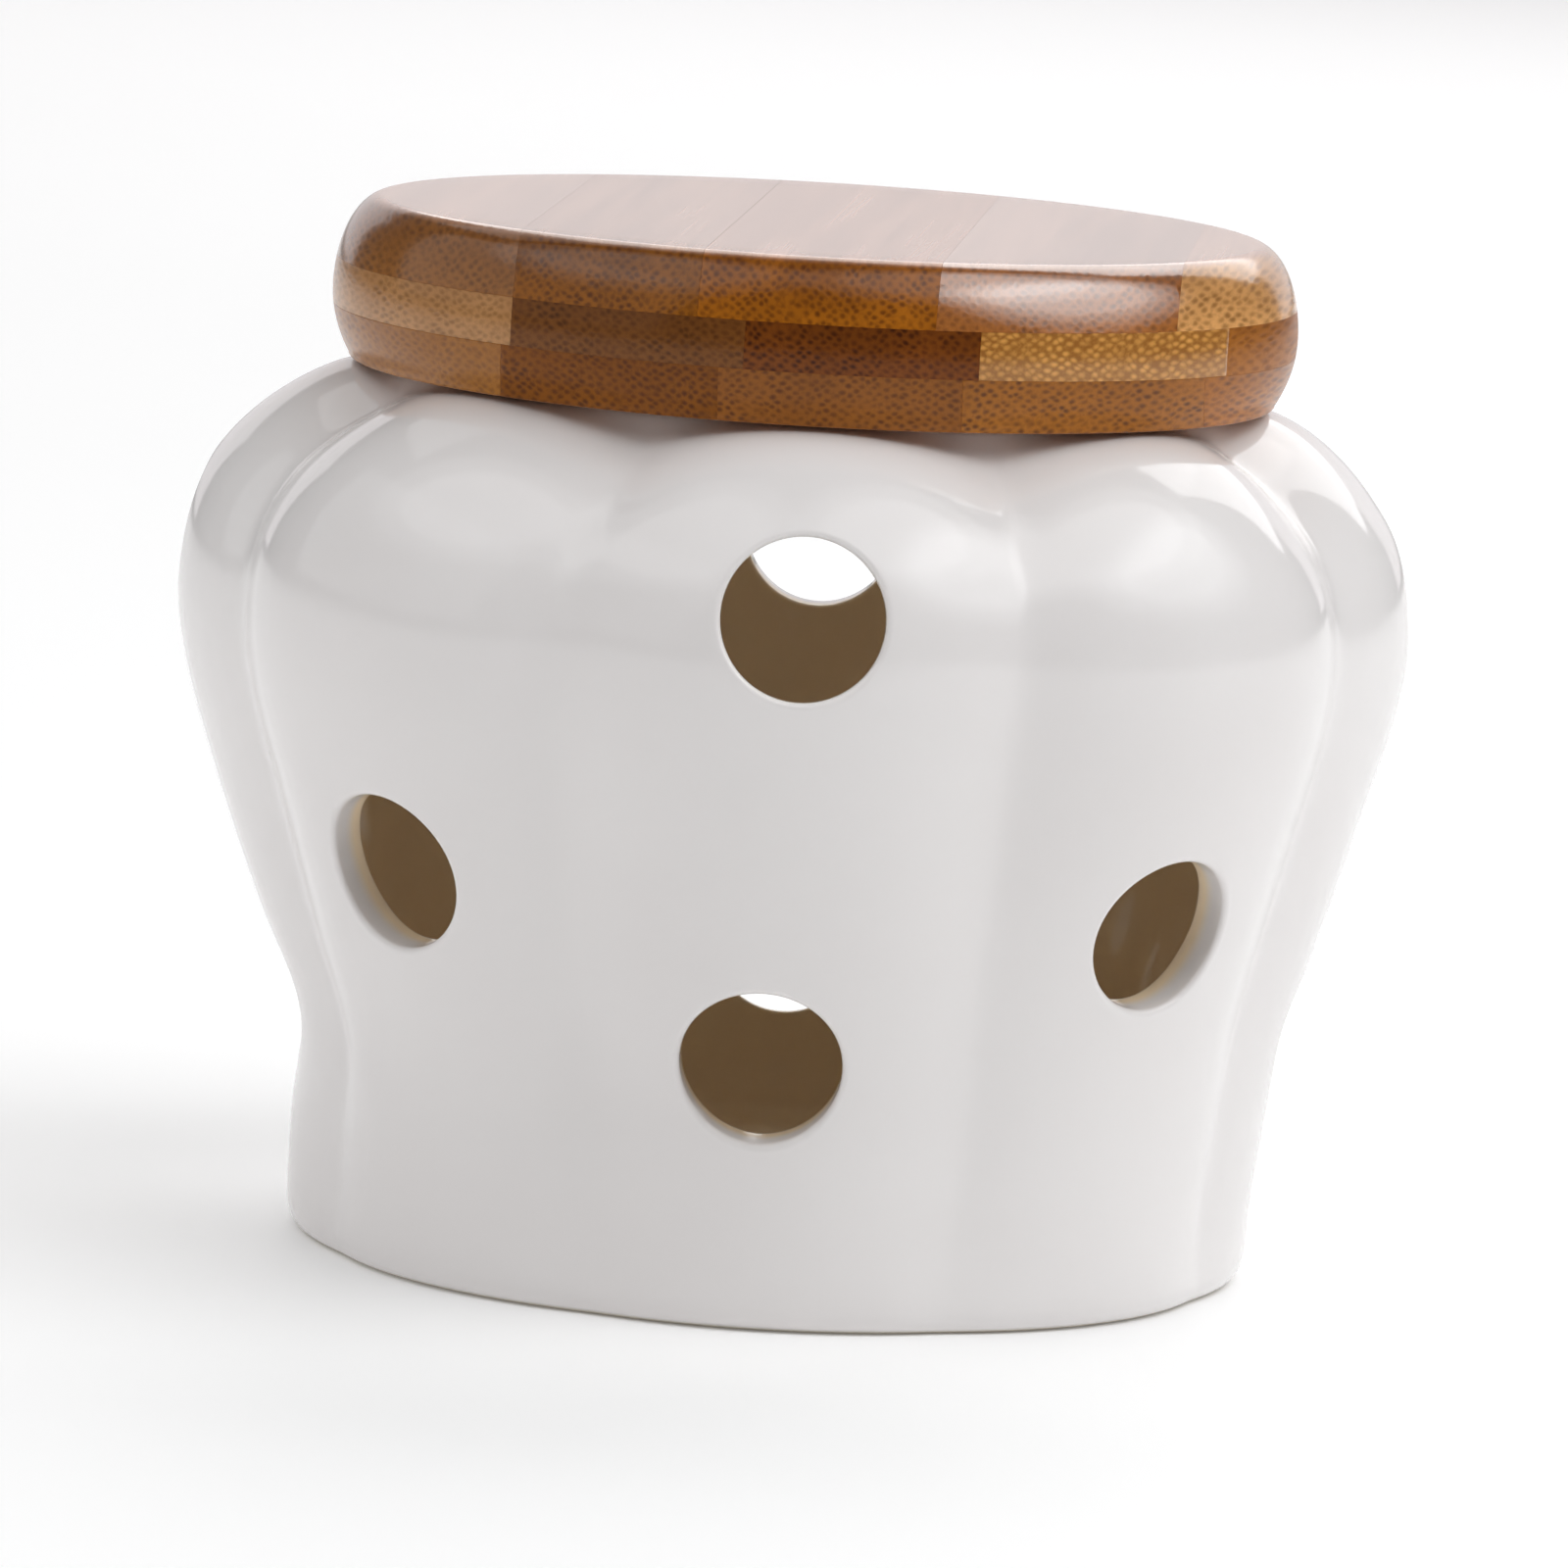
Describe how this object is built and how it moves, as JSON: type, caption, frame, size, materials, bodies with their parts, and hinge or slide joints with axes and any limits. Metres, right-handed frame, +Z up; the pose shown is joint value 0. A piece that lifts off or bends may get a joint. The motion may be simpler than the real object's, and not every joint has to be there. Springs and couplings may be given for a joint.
{
  "type": "garlic keeper",
  "caption": "Lobed, vented glazed ceramic keeper with a flat foot and a thick round laminated bamboo lid that lifts off; stores garlic in moving air.",
  "frame": {"origin": "centre of the foot, on the table", "axes": "+Z up through the lid; -Y out through the front lobe, which has an upper and a lower vent"},
  "size_m": [0.1294, 0.1294, 0.1097],
  "materials": {
    "white_glaze": "gloss",
    "silicone": "satin",
    "bamboo_plug": "satin",
    "bamboo_tan": "satin varnish",
    "bamboo_brown": "satin varnish",
    "bamboo_red_brown": "satin varnish",
    "bamboo_grey_brown": "satin varnish",
    "bamboo_dark": "satin varnish",
    "bamboo_gold": "satin varnish",
    "bamboo_amber": "satin varnish"
  },
  "bodies": {
    "pot": {"pot": "white_glaze"},
    "seal": {"seal_ring": "silicone"},
    "lid": {"lid_plug": "bamboo_plug", "lid_bottom_strip_1": "bamboo_tan", "lid_bottom_strip_2": "bamboo_brown", "lid_bottom_strip_3": "bamboo_tan", "lid_bottom_strip_4": "bamboo_red_brown", "lid_bottom_strip_5": "bamboo_red_brown", "lid_middle_strip_1": "bamboo_tan", "lid_middle_strip_2": "bamboo_grey_brown", "lid_middle_strip_3": "bamboo_dark", "lid_middle_strip_4": "bamboo_gold", "lid_middle_strip_5": "bamboo_amber", "lid_top_strip_1": "bamboo_grey_brown", "lid_top_strip_2": "bamboo_grey_brown", "lid_top_strip_3": "bamboo_amber", "lid_top_strip_4": "bamboo_brown", "lid_top_strip_5": "bamboo_gold"}
  },
  "joints": [
    {"name": "lid_lift", "type": "slide", "parent": "pot", "child": "seal", "axis": [0, 0, 1], "range_m": [0, 0.12]},
    {"name": "lid_turn", "type": "hinge", "parent": "seal", "child": "lid", "pos_m": [0, 0, 0.0896], "axis": [0, 0, 1], "continuous": true}
  ]
}
